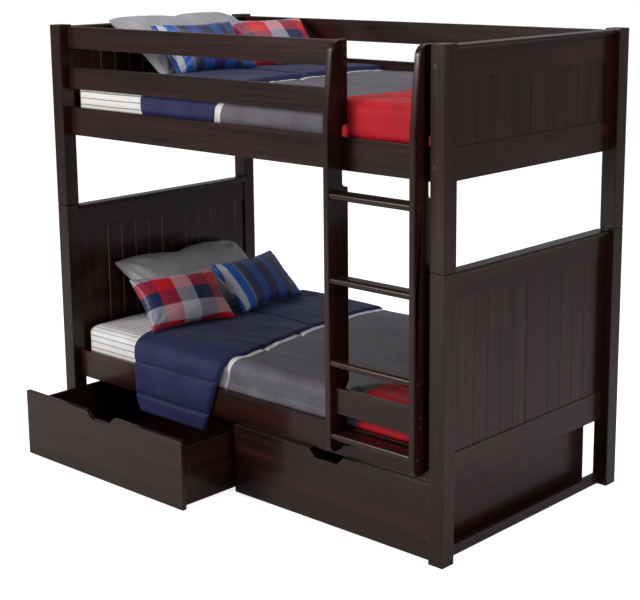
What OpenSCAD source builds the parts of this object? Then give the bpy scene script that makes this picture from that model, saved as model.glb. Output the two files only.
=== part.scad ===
// Twin-over-twin panel bunk bed with a fixed ladder, guard rails, bedding and two
// rolling under-bed drawers. X runs along the bed from the head end (-X) to the foot
// end (+X), Y across it with the ladder side at -Y, and Z up from the floor.

/* [Bed] */
// Overall length over the posts
bed_l = 2020; // [1690:5:2430]
// Overall width over the posts
bed_w = 1070; // [900:5:1290]
// Height of the lower posts, up to the stacking joint
lower_post_h = 1002; // [840:1:1210]
// How far the left drawer stands open
drawer_open = 262; // [0:1:600]

/* [Posts] */
// Side of each square post
post_t = 62; // [56:1:76]
// Rounding of the posts' long edges
post_r = 3; // [1:0.5:8]
// Height of a post's top above the upper guard rail
post_top = 7; // [2:1:30]
// Depth of the shadow step at the stacking joint
joint_step = 1.2; // [0.5:0.1:3]

/* [Side and guard rails] */
// Thickness of the side rails and guard rails
rail_t = 22; // [18:1:28]
// Height of each side rail
rail_h = 114; // [90:1:150]
// How far the rails stand back from the posts' outer faces
rail_setback = 34; // [20:1:38]
// Height of the lower side rails above the floor
lower_rail_z = 273; // [240:1:320]
// Height of the upper side rails above the stacking joint
upper_rail_rise = 290; // [220:1:380]
// Height of each guard rail
guard_h = 87; // [70:1:110]
// Open gap between the side rail and the guard rails
guard_gap = 74; // [60:1:95]

/* [End panels] */
// Thickness of the end panels' rails
panel_t = 22; // [18:1:28]
// Height of the lower panels' bottom rail above the floor
panel_low_z = 262; // [230:1:300]
// Height of the end panels' bottom rails
panel_rail_h = 111; // [90:1:140]
// Height of the end panels' top rails
panel_top_h = 84; // [60:1:110]
// Distance from a post's top down to its panel's cap
cap_drop = 6; // [2:1:15]
// Thickness of the caps
cap_t = 22; // [16:1:28]
// How far a cap overhangs each face of its panel
cap_overhang = 19; // [8:1:24]
// Thickness of the beadboard
bead_t = 14; // [10:1:18]
// Width of the first, wide plank of each beadboard unit
bead_wide = 140; // [100:1:180]
// Width of each narrow plank
bead_narrow = 75; // [50:1:100]
// Height of the floor rails that tie the posts at each end
floor_rail_h = 39; // [30:1:60]
// Height of the floor rails' lower edge above the floor
floor_rail_z = 5; // [2:1:20]

/* [Slats] */
// Number of slats under each mattress
slat_count = 13; // [9:1:17]
// Width of each slat
slat_w = 72; // [50:1:90]
// Thickness of each slat
slat_t = 18; // [12:1:24]
// Height of the cleats that carry the slats
cleat_h = 25; // [18:1:35]
// Width of the cleats
cleat_w = 20; // [15:1:30]
// Height of the cleats above their rail's lower edge
cleat_rise = 7; // [3:1:20]

/* [Ladder] */
// Clear width between the ladder's stiles
ladder_clear = 350; // [300:1:400]
// Distance from the foot post's inner face to the near stile
ladder_inset = 29; // [10:1:80]
// Thickness of the stiles
stile_t = 24; // [20:1:30]
// How far the stiles stand out in front of the side rails
stile_out = 75; // [60:1:90]
// How far the stiles reach in behind the rails' outer face
stile_in = 28; // [24:1:30]
// Height of the stiles' lower ends above the lower rail's bottom edge
stile_low = 31; // [15:1:50]
// Depth of each rung
rung_d = 55; // [45:1:65]
// Thickness of each rung
rung_t = 25; // [20:1:30]
// Height between rungs
rung_pitch = 292; // [240:1:320]
// How far the rungs' front edge stands back from the stiles' front edge
rung_back = 4; // [2:1:12]
// Height of the brace board
brace_h = 93; // [60:1:110]
// Thickness of the brace board
brace_t = 20; // [15:1:25]

/* [Drawers] */
// Thickness of the drawer fronts
front_t = 20; // [16:1:21]
// How far the closed fronts stand back from the posts' outer faces
front_setback = 13; // [8:1:13]
// Height of the fronts' lower edge above the floor
front_z = 8; // [4:1:15]
// How far a front's upper edge laps over the lower rail
front_lap = 2; // [0:1:10]
// Gap beside each front
front_gap = 4; // [2:1:10]
// Thickness of the drawers' sides and backs
side_t = 12; // [9:1:15]
// How far each side stands in from the end of its front
side_inset = 20; // [10:1:30]
// Height of the sides' lower edge above the floor
side_z = 14; // [10:1:20]
// Clearance between the sides' top edge and the lower rail
side_clear = 37; // [10:1:60]
// Distance from the drawers' backs to the back posts' outer faces
back_clear = 95; // [60:1:150]
// Thickness of the drawer bottoms
bottom_t = 6; // [4:1:9]
// Width of the hand notch at its top
notch_top_w = 165; // [120:1:220]
// Width of the hand notch at its bottom
notch_low_w = 104; // [80:1:110]
// Depth of the hand notch
notch_d = 30; // [20:1:45]
// Radius of the caster wheels
wheel_r = 20; // [16:1:24]
// Width of the caster wheels
wheel_w = 14; // [10:1:18]
// Radius of the caster axles
axle_r = 3; // [2:0.5:4]

/* [Bedding] */
// Thickness of each mattress
mattress_h = 165; // [140:1:200]
// Gap between each mattress's side and the rails
mattress_gap = 9; // [5:1:20]
// Thickness of each comforter
comforter_t = 32; // [20:1:40]
// Distance from the headboard to the lower comforter's turned-back edge
lower_cover_x = 378; // [300:1:450]
// Distance from the headboard to the upper comforter's turned-back edge
upper_cover_x = 428; // [300:1:450]
// Width of the lower comforter's corner that hangs over the rail
drop_w = 490; // [300:5:600]
// Length of a sleeping pillow
pillow_l = 690; // [600:5:720]
// Height of a sleeping pillow
pillow_h = 430; // [350:5:440]
// Thickness of a sleeping pillow
pillow_t = 125; // [80:1:150]
// Length of a small cushion
cushion_l = 395; // [330:5:420]
// Height of a small cushion
cushion_h = 265; // [220:5:300]
// Thickness of a small cushion
cushion_t = 100; // [70:1:120]

/* [Hidden] */
$fn = 32;

// Finishes
wood = [0.20, 0.12, 0.11];
brass = [0.45, 0.38, 0.24];
black_rubber = [0.08, 0.08, 0.08];
sheet_white = [0.85, 0.84, 0.81];
navy = [0.14, 0.15, 0.29];
pillow_grey = [0.55, 0.55, 0.55];
plaid_red = [0.65, 0.12, 0.16];
stripe_blue = [0.10, 0.30, 0.60];

// Small clearances
rest_gap = 0.3;      // a soft piece above what carries it
bolt_clear = 0.4;    // round a bolt or pin in its bore
axle_clear = 0.06;   // round a caster's axle in its wheel
joint_step_h = 2;    // height of the shadow step at each side of the stacking joint

// Frame planes, measured from the bed's centre line
post_x = bed_l/2 - post_t/2;
post_y = bed_w/2 - post_t/2;
post_in_x = bed_l/2 - post_t;
post_in_y = bed_w/2 - post_t;
rail_out_y = bed_w/2 - rail_setback;
rail_in_y = rail_out_y - rail_t;
rail_mid_y = (rail_out_y + rail_in_y)/2;
panel_out_x = bed_l/2 - rail_setback;
panel_in_x = panel_out_x - panel_t;
panel_mid_x = (panel_out_x + panel_in_x)/2;

// Heights
upper_rail_z = lower_post_h + upper_rail_rise;
guard_low_z = upper_rail_z + rail_h + guard_gap;
guard_top_z = guard_low_z + guard_h + guard_gap;
upper_post_h = guard_top_z + guard_h + post_top - lower_post_h;
bed_h = lower_post_h + upper_post_h;
panel_up_z = upper_rail_z - 1;

// Ladder planes
stile_r_x = post_in_x - ladder_inset - stile_t;
stile_l_x = stile_r_x - ladder_clear - stile_t;
ladder_front_y = -rail_out_y - stile_out;
stile_z = lower_rail_z + stile_low;
ladder_top_z = guard_top_z + guard_h + 4;
stile_bottom_r = 32;
stile_top_r = 40;
stile_lean = 24;           // how far the stiles' front edge leans back at the top
stile_lean_z = 270;        // height over which it leans
stile_notch_r = 18;
stile_notch_over = 40;     // open height above the upper rail in the stiles' notch
stile_notch_under = 58;    // and below it
stile_low_in = 14;         // the stiles' reach behind the rail's face beside the bedding
stile_low_h = 158;         // height of that narrower stretch above the lower rail
low_rung_top = lower_rail_z + rail_h - 7;
top_rung_top = upper_rail_z - 66;
step_count = floor((top_rung_top - low_rung_top)/rung_pitch + 0.5);
rung_tops = concat([low_rung_top], [for (i = [step_count - 1 : -1 : 0]) top_rung_top - i*rung_pitch]);
rung_mid_y = ladder_front_y + rung_back + rung_d/2;
brace_front_y = ladder_front_y + 24;
brace_z = (rung_tops[0] + rung_tops[1] - rung_t - brace_h)/2 - 5;

// Drawer planes
front_y = -bed_w/2 + front_setback;
front_top_z = lower_rail_z + front_lap;
front_w = (2*post_in_x - 3*front_gap)/2;
drawer_mid_x = (front_w + front_gap)/2;
box_front_y = front_y + front_t;
box_back_y = bed_w/2 - back_clear;
box_l = box_back_y - box_front_y;
box_out_x = front_w/2 - side_inset;
box_in_x = box_out_x - side_t;
side_top_z = lower_rail_z - side_clear;
plate_t = 3;
bottom_z = 2*wheel_r + 6;
fork_gap = 1;
fork_t = 2.5;
caster_x = box_in_x - 28;
caster_back = 66;          // from the box's front and back to the casters' axles
caster_plate = 40;
notch_r = 12;

// Bolts
bolt_r = 3;
bolt_head_r = 6.6;
bolt_head_h = 4;
bolt_recess = 1;           // how far a head lies below the wood's face
bolt_reach = 25;           // how far a bolt goes into the end of its rail
screw_r = 2.4;
screw_head_r = 4.6;
pin_r = 6;
pin_l = 100;
pin_offset = 14;           // from the lines of the bolts to the stacking pins
side_bolt_z = [42, 104];   // above a side rail's lower edge
spare_bolt_z = [224, 286]; // the spare holes above the lower rail
pin_bolt_rise = 29;        // above the stacking joint
panel_bolt_rise = 64;      // above a lower panel's bottom rail
upper_bolt_rise = 56;      // above an upper panel's bottom rail

// Where the stacking pins are
pin_x = panel_mid_x + pin_offset;
pin_y = rail_mid_y + pin_offset;

// The whole bed, with the left drawer open, is centred on Y = 0
drawer_reach = -front_y + drawer_open;
y_shift = (max(drawer_reach, -ladder_front_y) - bed_w/2)/2;
module in_frame() { translate([0, y_shift, 0]) children(); }

// ---- Shared shapes ----

// A box between two corners
module block(a, b) { translate(a) cube(b - a); }

// A rectangle with rounded corners, centred on the origin
module round_rect(w, h, r) {
    square([w - 2*r, h], center = true);
    square([w, h - 2*r], center = true);
    for (x = [-1, 1], y = [-1, 1]) translate([x*(w/2 - r), y*(h/2 - r)]) circle(r);
}

// Points on an arc about c, from angle a to angle b
function arc(c, r, a, b, n = 6) = [for (i = [0:n]) let(t = a + (b - a)*i/n) c + r*[cos(t), sin(t)]];

// A hex-socket bolt: its head just below the origin, its shank along -Z
module bolt(l, r, head_r) {
    translate([0, 0, -bolt_recess]) difference() {
        union() {
            translate([0, 0, -bolt_head_h]) cylinder(r = head_r, h = bolt_head_h);
            translate([0, 0, -l]) cylinder(r = r, h = l);
        }
        translate([0, 0, -2.5]) cylinder(r = head_r*0.5, h = 3, $fn = 6);
    }
}

// The counterbored hole that such a bolt sits in
module bolt_bore(l, r, head_r) {
    depth = bolt_recess + bolt_head_h + bolt_clear;
    translate([0, 0, -depth]) cylinder(r = head_r + bolt_clear, h = depth + 1);
    translate([0, 0, -l - bolt_recess - 1]) cylinder(r = r + bolt_clear, h = l + 1);
}

// Turns +Z to face along +X or -X, or along +Y or -Y
module face_x(s) { rotate([0, s*90, 0]) children(); }
module face_y(s) { rotate([-s*90, 0, 0]) children(); }

// ---- Where the bolts are ----

// Heights of the bolts that run along X, through a post into the rails' ends: [height, length]
function lower_x_bolts() = concat(
    [for (z = side_bolt_z) [lower_rail_z + z, post_t + bolt_reach]],
    [for (z = spare_bolt_z) [lower_rail_z + z, post_t - 20]]);
function upper_x_bolts(has_guard) = concat(
    [for (z = side_bolt_z) [upper_rail_z + z, post_t + bolt_reach]],
    [[lower_post_h + pin_bolt_rise, post_t - 20],
     [guard_top_z + guard_h/2, has_guard ? post_t + bolt_reach : post_t - 20]]);

// Heights of the bolts that run along Y, through a post into the end panel's rails
function lower_y_bolts() = [panel_low_z + panel_bolt_rise,
    lower_post_h - cap_drop - cap_t - panel_top_h/2 - 2];
function upper_y_bolts() = [panel_up_z + upper_bolt_rise,
    bed_h - cap_drop - cap_t - panel_top_h/2];

// Puts a child, which takes its length from $l, at every bolt place on one post
module at_post_bolts(sx, sy, upper) {
    has_guard = sy > 0 || sx < 0;
    for (b = upper ? upper_x_bolts(has_guard) : lower_x_bolts())
        let($l = b[1]) translate([sx*(bed_l/2), sy*rail_mid_y, b[0]]) face_x(sx) children();
    for (z = upper ? upper_y_bolts() : lower_y_bolts())
        let($l = post_t + bolt_reach) translate([sx*panel_mid_x, sy*(bed_w/2), z]) face_y(sy) children();
}

// The bores of one bunk's post bolts, at the ends and sides that are asked for
module post_bores(sxs, sys, upper) {
    for (sx = sxs, sy = sys) at_post_bolts(sx, sy, upper) bolt_bore($l, bolt_r, bolt_head_r);
}

// Puts a child, which takes its length from $l, at every screw of the ladder
module at_ladder_screws() {
    outer = [[stile_l_x, -1], [stile_r_x + stile_t, 1]];
    for (s = outer, z = rung_tops, dy = [-14, 14])
        let($l = stile_t + 30) translate([s[0], rung_mid_y + dy, z - rung_t/2]) face_x(s[1]) children();
    for (s = outer, dz = [-16, 16])
        let($l = stile_t + 30)
            translate([s[0], brace_front_y + brace_t/2, brace_z + brace_h/2 + dz]) face_x(s[1]) children();
    for (dz = [-29, 0, 29])
        let($l = stile_t + 30)
            translate([stile_l_x + stile_t, -rail_mid_y, guard_top_z + guard_h/2 + dz])
                face_x(1) children();
    for (x = [stile_l_x, stile_r_x], z = [lower_rail_z, upper_rail_z])
        let($l = rail_t + 40)
            translate([x + stile_t/2, -rail_in_y, z + rail_h - 34]) face_y(1) children();
}

module all_ladder_bores() { at_ladder_screws() bolt_bore($l, screw_r, screw_head_r); }

// ---- Frame ----

// One post, with the shadow step at the end where the bunks stack
module post(sx, sy, upper) {
    h = upper ? upper_post_h : lower_post_h;
    z = upper ? lower_post_h : 0;
    step_z = upper ? lower_post_h : lower_post_h - joint_step_h;
    in_frame() color(wood) difference() {
        translate([sx*post_x, sy*post_y, 0]) {
            translate([0, 0, upper ? z + joint_step_h : z])
                linear_extrude(h - joint_step_h) round_rect(post_t, post_t, post_r);
            translate([0, 0, step_z])
                linear_extrude(joint_step_h)
                    round_rect(post_t - 2*joint_step, post_t - 2*joint_step, post_r);
        }
        at_post_bolts(sx, sy, upper) bolt_bore($l, bolt_r, bolt_head_r);
        translate([sx*pin_x, sy*pin_y, lower_post_h - pin_l/2 - 1])
            cylinder(r = pin_r + bolt_clear, h = pin_l + 2);
    }
}

// One side rail, from post to post
module side_rail(sy, upper) {
    y = [sy*rail_in_y, sy*rail_out_y];
    z = upper ? upper_rail_z : lower_rail_z;
    in_frame() color(wood) difference() {
        block([-post_in_x, min(y), z], [post_in_x, max(y), z + rail_h]);
        post_bores([-1, 1], [sy], upper);
        if (sy < 0) all_ladder_bores();
    }
}

module guard_rail(sy, z, end_x) {
    y = [sy*rail_in_y, sy*rail_out_y];
    difference() {
        block([-post_in_x, min(y), z], [end_x, max(y), z + guard_h]);
        post_bores([-1, 1], [sy], true);
        if (sy < 0) all_ladder_bores();
    }
}

module guard_rails(sy) {
    in_frame() color(wood)
        for (z = [guard_low_z, guard_top_z]) guard_rail(sy, z, sy < 0 ? stile_l_x : post_in_x);
}

// Section of a cap: a board with round edges over a narrower cove
module cap_section() {
    w = panel_t + 2*cap_overhang;
    board = cap_t*0.62;
    translate([0, cap_t - board/2]) round_rect(w, board, board*0.45);
    translate([-panel_t/2 - cap_overhang*0.45, 0]) square([panel_t + cap_overhang*0.9, cap_t - board/2]);
}

module end_caps() {
    in_frame() color(wood)
        for (sx = [-1, 1], top = [lower_post_h, bed_h])
            translate([sx*panel_mid_x, post_in_y, top - cap_drop - cap_t])
                rotate([90, 0, 0]) linear_extrude(2*post_in_y) cap_section();
}

// The two horizontal rails of an end panel
module panel_rails(sx, upper) {
    x = [sx*panel_in_x, sx*panel_out_x];
    low_z = upper ? panel_up_z : panel_low_z;
    top_z = (upper ? bed_h : lower_post_h) - cap_drop - cap_t;
    in_frame() color(wood) difference() {
        for (z = [[low_z, low_z + panel_rail_h], [top_z - panel_top_h, top_z]])
            block([min(x), -post_in_y, z[0]], [max(x), post_in_y, z[1]]);
        post_bores([sx], [-1, 1], upper);
    }
}

// Grooves across a beadboard: the last of each unit is the joint to the next unit
bead_unit = bead_wide + 4*bead_narrow;
bead_start = -post_in_y + 11;
bead_grooves = [
    for (u = [0:3], k = [0:4])
        let(y = bead_start + u*bead_unit + bead_wide + k*bead_narrow)
            if (y < post_in_y - 25) [y, k == 4 ? 6 : 3]];

// The grooved board between an end panel's rails
module beadboard(sx, upper) {
    z0 = (upper ? panel_up_z : panel_low_z) + panel_rail_h;
    z1 = (upper ? bed_h : lower_post_h) - cap_drop - cap_t - panel_top_h;
    in_frame() color(wood) difference() {
        block([sx*panel_mid_x - bead_t/2, -post_in_y, z0], [sx*panel_mid_x + bead_t/2, post_in_y, z1]);
        for (g = bead_grooves, f = [-1, 1])
            translate([sx*panel_mid_x + f*bead_t/2, g[0], z0 - 1])
                linear_extrude(z1 - z0 + 2) rotate(45) square(g[1]*0.9, center = true);
    }
}

// A rail on edge between the posts' feet, at each end
module floor_rails() {
    in_frame() color(wood)
        for (sx = [-1, 1])
            block([sx*panel_mid_x - panel_t/2, -post_in_y, floor_rail_z],
                  [sx*panel_mid_x + panel_t/2, post_in_y, floor_rail_z + floor_rail_h]);
}

// ---- Slats ----

function slat_z(rail_z) = rail_z + cleat_rise + cleat_h;

module slats(rail_z) {
    span = 2*panel_in_x - slat_w - 40;
    half = rail_in_y - 2;
    in_frame() color(wood)
        for (i = [0:slat_count - 1])
            translate([-span/2 + i*span/(slat_count - 1), 0, slat_z(rail_z)])
                block([-slat_w/2, -half, 0], [slat_w/2, half, slat_t]);
}

cleat_end_x = post_in_x - 10;
module slat_cleats() {
    in_frame() color(wood)
        for (sy = [-1, 1], z = [lower_rail_z + cleat_rise, upper_rail_z + cleat_rise])
            let(y = [sy*rail_in_y, sy*(rail_in_y - cleat_w)])
                block([-cleat_end_x, min(y), z], [cleat_end_x, max(y), z + cleat_h]);
}

// ---- Ladder ----

// A stile's outline, as [distance in front of the rails' outer face, height]
function stile_outline() = let(
        f = stile_out,
        b = -stile_in,
        low_b = -stile_low_in,
        z0 = stile_z,
        z1 = ladder_top_z,
        kink = z1 - stile_lean_z,
        n0 = upper_rail_z - stile_notch_under,
        n1 = upper_rail_z + rail_h + stile_notch_over,
        rail_top = lower_rail_z + rail_h,
        r = stile_bottom_r,
        tr = stile_top_r,
        nr = stile_notch_r)
    concat(
        arc([f - r, z0 + r], r, -90, 0),
        [[f, kink]],
        arc([f - stile_lean - tr, z1 - tr], tr, 4, 90),
        [[b, z1], [b, n1]],
        arc([-nr, n1 - nr], nr, 90, 0, 4),
        arc([-nr, n0 + nr], nr, 0, -90, 4),
        [[b, n0]],
        [[b, rail_top + stile_low_h], [low_b, rail_top + stile_low_h - 16], [low_b, rail_top]],
        [[0, rail_top]],
        arc([r*0.8, z0 + r*0.8], r*0.8, 180, 270));

module ladder_stile(x) {
    in_frame() color(wood) difference() {
        translate([x, -rail_out_y, 0])
            rotate([90, 0, -90]) translate([0, 0, -stile_t])
                linear_extrude(stile_t) polygon(stile_outline());
        all_ladder_bores();
    }
}

// Section of a rung, with a round front edge
module rung_section() {
    r = rung_t*0.42;
    translate([rung_d/2, 0]) round_rect(rung_d, rung_t, r);
    translate([rung_d/2, -rung_t/2]) square([rung_d/2, rung_t]);
}

module ladder_rungs() {
    in_frame() color(wood) difference() {
        for (z = rung_tops)
            translate([stile_l_x + stile_t, ladder_front_y + rung_back, z - rung_t/2])
                rotate([90, 0, 90]) linear_extrude(ladder_clear) rung_section();
        all_ladder_bores();
    }
}

module ladder_brace() {
    in_frame() color(wood) difference() {
        block([stile_l_x + stile_t, brace_front_y, brace_z],
              [stile_r_x, brace_front_y + brace_t, brace_z + brace_h]);
        all_ladder_bores();
    }
}

// ---- Fasteners ----

module frame_bolts() {
    in_frame() color(brass)
        for (sx = [-1, 1], sy = [-1, 1], up = [false, true])
            at_post_bolts(sx, sy, up) bolt($l, bolt_r, bolt_head_r);
}

module ladder_bolts() {
    in_frame() color(brass) at_ladder_screws() bolt($l, screw_r, screw_head_r);
}

module stacking_pins() {
    in_frame() color(brass)
        for (sx = [-1, 1], sy = [-1, 1])
            translate([sx*pin_x, sy*pin_y, lower_post_h - pin_l/2]) cylinder(r = pin_r, h = pin_l);
}

// ---- Drawers: side -1 is the left one, which stands open ----

module in_drawer(side) {
    in_frame() translate([side*drawer_mid_x, side < 0 ? -drawer_open : 0, 0]) children();
}

// The hand notch, with its sides closing in and its corners rounded
module notch_shape() {
    w = notch_top_w/2;
    v = notch_low_w/2;
    polygon(concat(
        [[-w, 1], [w, 1], [w - 5, -4]],
        arc([v - notch_r*0.4, -notch_d + notch_r], notch_r, -25, -90, 4),
        arc([-v + notch_r*0.4, -notch_d + notch_r], notch_r, -90, -155, 4),
        [[-w + 5, -4]]));
}

module drawer_front(side) {
    in_drawer(side) color(wood) difference() {
        block([-front_w/2, front_y, front_z], [front_w/2, front_y + front_t, front_top_z]);
        translate([0, front_y + front_t + 1, front_top_z])
            rotate([90, 0, 0]) linear_extrude(front_t + 2) notch_shape();
    }
}

module drawer_box(side) {
    in_drawer(side) color(wood) {
        for (s = [-1, 1])
            let(x = [s*box_in_x, s*box_out_x])
                block([min(x), box_front_y, side_z], [max(x), box_back_y, side_top_z]);
        block([-box_in_x, box_back_y - side_t, side_z], [box_in_x, box_back_y, side_top_z]);
    }
}

module drawer_bottom(side) {
    in_drawer(side) color(wood)
        block([-box_in_x, box_front_y, bottom_z], [box_in_x, box_back_y - side_t, bottom_z + bottom_t]);
}

// Where the casters are, as [x, y] within the drawer
caster_ys = [box_front_y + caster_back, box_back_y - side_t - caster_back];
caster_places = [for (y = caster_ys, s = [-1, 1]) [s*caster_x, y]];

// A caster's plate, fork and axle
module caster_fork() {
    leg_in = wheel_w/2 + fork_gap;
    translate([-caster_plate/2, -caster_plate/2, bottom_z - plate_t])
        cube([caster_plate, caster_plate, plate_t]);
    for (s = [-1, 1])
        translate([s*(leg_in + fork_t/2) - fork_t/2, -axle_r - 4, wheel_r - axle_r - 3])
            cube([fork_t, 2*axle_r + 8, bottom_z - wheel_r + axle_r + 2]);
    translate([-leg_in - 1, 0, wheel_r]) rotate([0, 90, 0]) cylinder(r = axle_r, h = 2*leg_in + 2);
}

module drawer_casters(side) {
    in_drawer(side) color(black_rubber)
        for (p = caster_places) translate([p[0], p[1], 0]) caster_fork();
}

module drawer_wheel(side, i) {
    in_drawer(side) color(black_rubber)
        translate([caster_places[i][0] - wheel_w/2, caster_places[i][1], wheel_r]) rotate([0, 90, 0])
            difference() {
                union() {
                    translate([0, 0, 1.5]) cylinder(r = wheel_r, h = wheel_w - 3);
                    cylinder(r = wheel_r - 1.5, h = wheel_w);
                }
                translate([0, 0, -1]) cylinder(r = axle_r + axle_clear, h = wheel_w + 2);
            }
}

// ---- Bedding: plain solids of the right size ----

mattress_half_y = rail_in_y - mattress_gap;
mattress_half_x = panel_in_x - 4;
mattress_top_r = 55;
function mattress_z(rail_z) = slat_z(rail_z) + slat_t + rest_gap;
function mattress_top(rail_z) = mattress_z(rail_z) + mattress_h;
function cover_top(rail_z) = mattress_top(rail_z) + rest_gap + comforter_t;

module mattress(rail_z) {
    in_frame() color(sheet_white) translate([0, 0, mattress_z(rail_z)])
        linear_extrude(mattress_h) round_rect(2*mattress_half_x, 2*mattress_half_y, mattress_top_r);
}

foot_gap = 8;
cover_end_x = min(panel_in_x, post_in_x) - foot_gap;
skirt_in = 2;              // the comforter's hanging side outside the mattress
skirt_t = 12;
drop_out = 26;             // how far its corner hangs out in front of the rail
drop_clear = 4;

// The lower comforter: over the mattress, down its front side, and one corner over the rail
module comforter_lower() {
    z0 = mattress_top(lower_rail_z) + rest_gap;
    x0 = lower_cover_x - panel_in_x;
    rail_top = lower_rail_z + rail_h + drop_clear;
    side_y = mattress_half_y + skirt_in;
    out_y = rail_out_y + drop_out;
    in_frame() color(navy) {
        block([x0, -side_y - skirt_t, z0], [cover_end_x, mattress_half_y, z0 + comforter_t]);
        block([x0, -side_y - skirt_t, rail_top], [cover_end_x, -side_y, z0 + 1]);
        block([x0, -out_y, rail_top], [x0 + drop_w, -side_y, z0 + comforter_t - 6]);
        block([x0, -out_y, front_top_z + 12], [x0 + drop_w, -rail_out_y - 3, rail_top + 1]);
    }
}

module comforter_upper() {
    z0 = mattress_top(upper_rail_z) + rest_gap;
    in_frame() color(navy)
        block([upper_cover_x - panel_in_x, -mattress_half_y, z0],
              [cover_end_x, mattress_half_y, z0 + comforter_t]);
}

// A crowned pad, thin at its edges, with its length size[0] along Y and its height size[1].
// It leans back towards the head by an angle from upright, is turned about Z by yaw, and its
// lower edge rests at place, [x, y], on a surface.
pad_edge_t = 20;
module leaning_pad(size, place, surface_z, lean, yaw) {
    lift = pad_edge_t/2*sin(lean) + rest_gap;
    translate([place[0], place[1], surface_z + lift])
        rotate([0, 0, yaw]) rotate([0, -lean, 0]) rotate([0, 90, 0]) translate([-size[1]/2, 0, 0]) hull() {
            translate([0, 0, -pad_edge_t/2]) linear_extrude(pad_edge_t) round_rect(size[1], size[0], 30);
            translate([0, 0, -size[2]/2]) linear_extrude(size[2]) round_rect(size[1]*0.5, size[0]*0.6, 30);
        }
}

// A sleeping pillow, its upper edge against the headboard
pillow_lean = 57;
module sleeping_pillow(rail_z, behind_x) {
    foot_x = -behind_x + rest_gap + pillow_h*sin(pillow_lean) + pad_edge_t/2*cos(pillow_lean);
    in_frame() color(pillow_grey)
        leaning_pad([pillow_l, pillow_h, pillow_t], [foot_x, 35], mattress_top(rail_z), pillow_lean, 0);
}

// A small cushion, standing on a comforter in front of the sleeping pillow
cushion_lean = 46;
module cushion(rail_z, from_head, y, yaw, finish) {
    in_frame() color(finish)
        leaning_pad([cushion_l, cushion_h, cushion_t], [from_head - panel_in_x, y], cover_top(rail_z),
                    cushion_lean, yaw);
}

post(-1, -1, false);  // post_lower_head_front
post(-1, 1, false);  // post_lower_head_back
post(1, -1, false);  // post_lower_foot_front
post(1, 1, false);  // post_lower_foot_back
post(-1, -1, true);  // post_upper_head_front
post(-1, 1, true);  // post_upper_head_back
post(1, -1, true);  // post_upper_foot_front
post(1, 1, true);  // post_upper_foot_back
side_rail(-1, false);  // side_rail_lower_front
side_rail(1, false);  // side_rail_lower_back
side_rail(-1, true);  // side_rail_upper_front
side_rail(1, true);  // side_rail_upper_back
guard_rails(-1);  // guard_rails_front
guard_rails(1);  // guard_rails_back
end_caps();
floor_rails();
panel_rails(-1, false);  // panel_rails_lower_head
panel_rails(1, false);  // panel_rails_lower_foot
panel_rails(-1, true);  // panel_rails_upper_head
panel_rails(1, true);  // panel_rails_upper_foot
beadboard(-1, false);  // beadboard_lower_head
beadboard(1, false);  // beadboard_lower_foot
beadboard(-1, true);  // beadboard_upper_head
beadboard(1, true);  // beadboard_upper_foot
slats(lower_rail_z);  // slats_lower
slats(upper_rail_z);  // slats_upper
slat_cleats();
ladder_stile(stile_l_x);  // ladder_stile_left
ladder_stile(stile_r_x);  // ladder_stile_right
ladder_rungs();
ladder_brace();
frame_bolts();
ladder_bolts();
stacking_pins();
drawer_front(-1);  // drawer_left_front
drawer_box(-1);  // drawer_left_box
drawer_bottom(-1);  // drawer_left_bottom
drawer_casters(-1);  // drawer_left_casters
drawer_wheel(-1, 0);  // drawer_left_wheel_1
drawer_wheel(-1, 1);  // drawer_left_wheel_2
drawer_wheel(-1, 2);  // drawer_left_wheel_3
drawer_wheel(-1, 3);  // drawer_left_wheel_4
drawer_front(1);  // drawer_right_front
drawer_box(1);  // drawer_right_box
drawer_bottom(1);  // drawer_right_bottom
drawer_casters(1);  // drawer_right_casters
drawer_wheel(1, 0);  // drawer_right_wheel_1
drawer_wheel(1, 1);  // drawer_right_wheel_2
drawer_wheel(1, 2);  // drawer_right_wheel_3
drawer_wheel(1, 3);  // drawer_right_wheel_4
mattress(lower_rail_z);  // mattress_lower
mattress(upper_rail_z);  // mattress_upper
comforter_lower();
comforter_upper();
sleeping_pillow(lower_rail_z, panel_mid_x - bead_t/2);  // pillow_lower
sleeping_pillow(upper_rail_z, panel_in_x - cap_overhang);  // pillow_upper
cushion(lower_rail_z, 482, -280, -12, plaid_red);  // cushion_plaid_lower
cushion(lower_rail_z, 484, 176, 4, stripe_blue);  // cushion_stripe_lower
cushion(upper_rail_z, 522, 245, -10, plaid_red);  // cushion_plaid_upper
cushion(upper_rail_z, 508, -140, -8, stripe_blue);  // cushion_stripe_upper
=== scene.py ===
# A twin-over-twin bunk bed in dark wood, made up with bedding, with a ladder and two rolling drawers.
# The sections below follow the bed as it is put together, from the floor to the pillows.
import math

import bpy
import numpy as np
from mathutils import Matrix, Vector, noise


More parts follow.
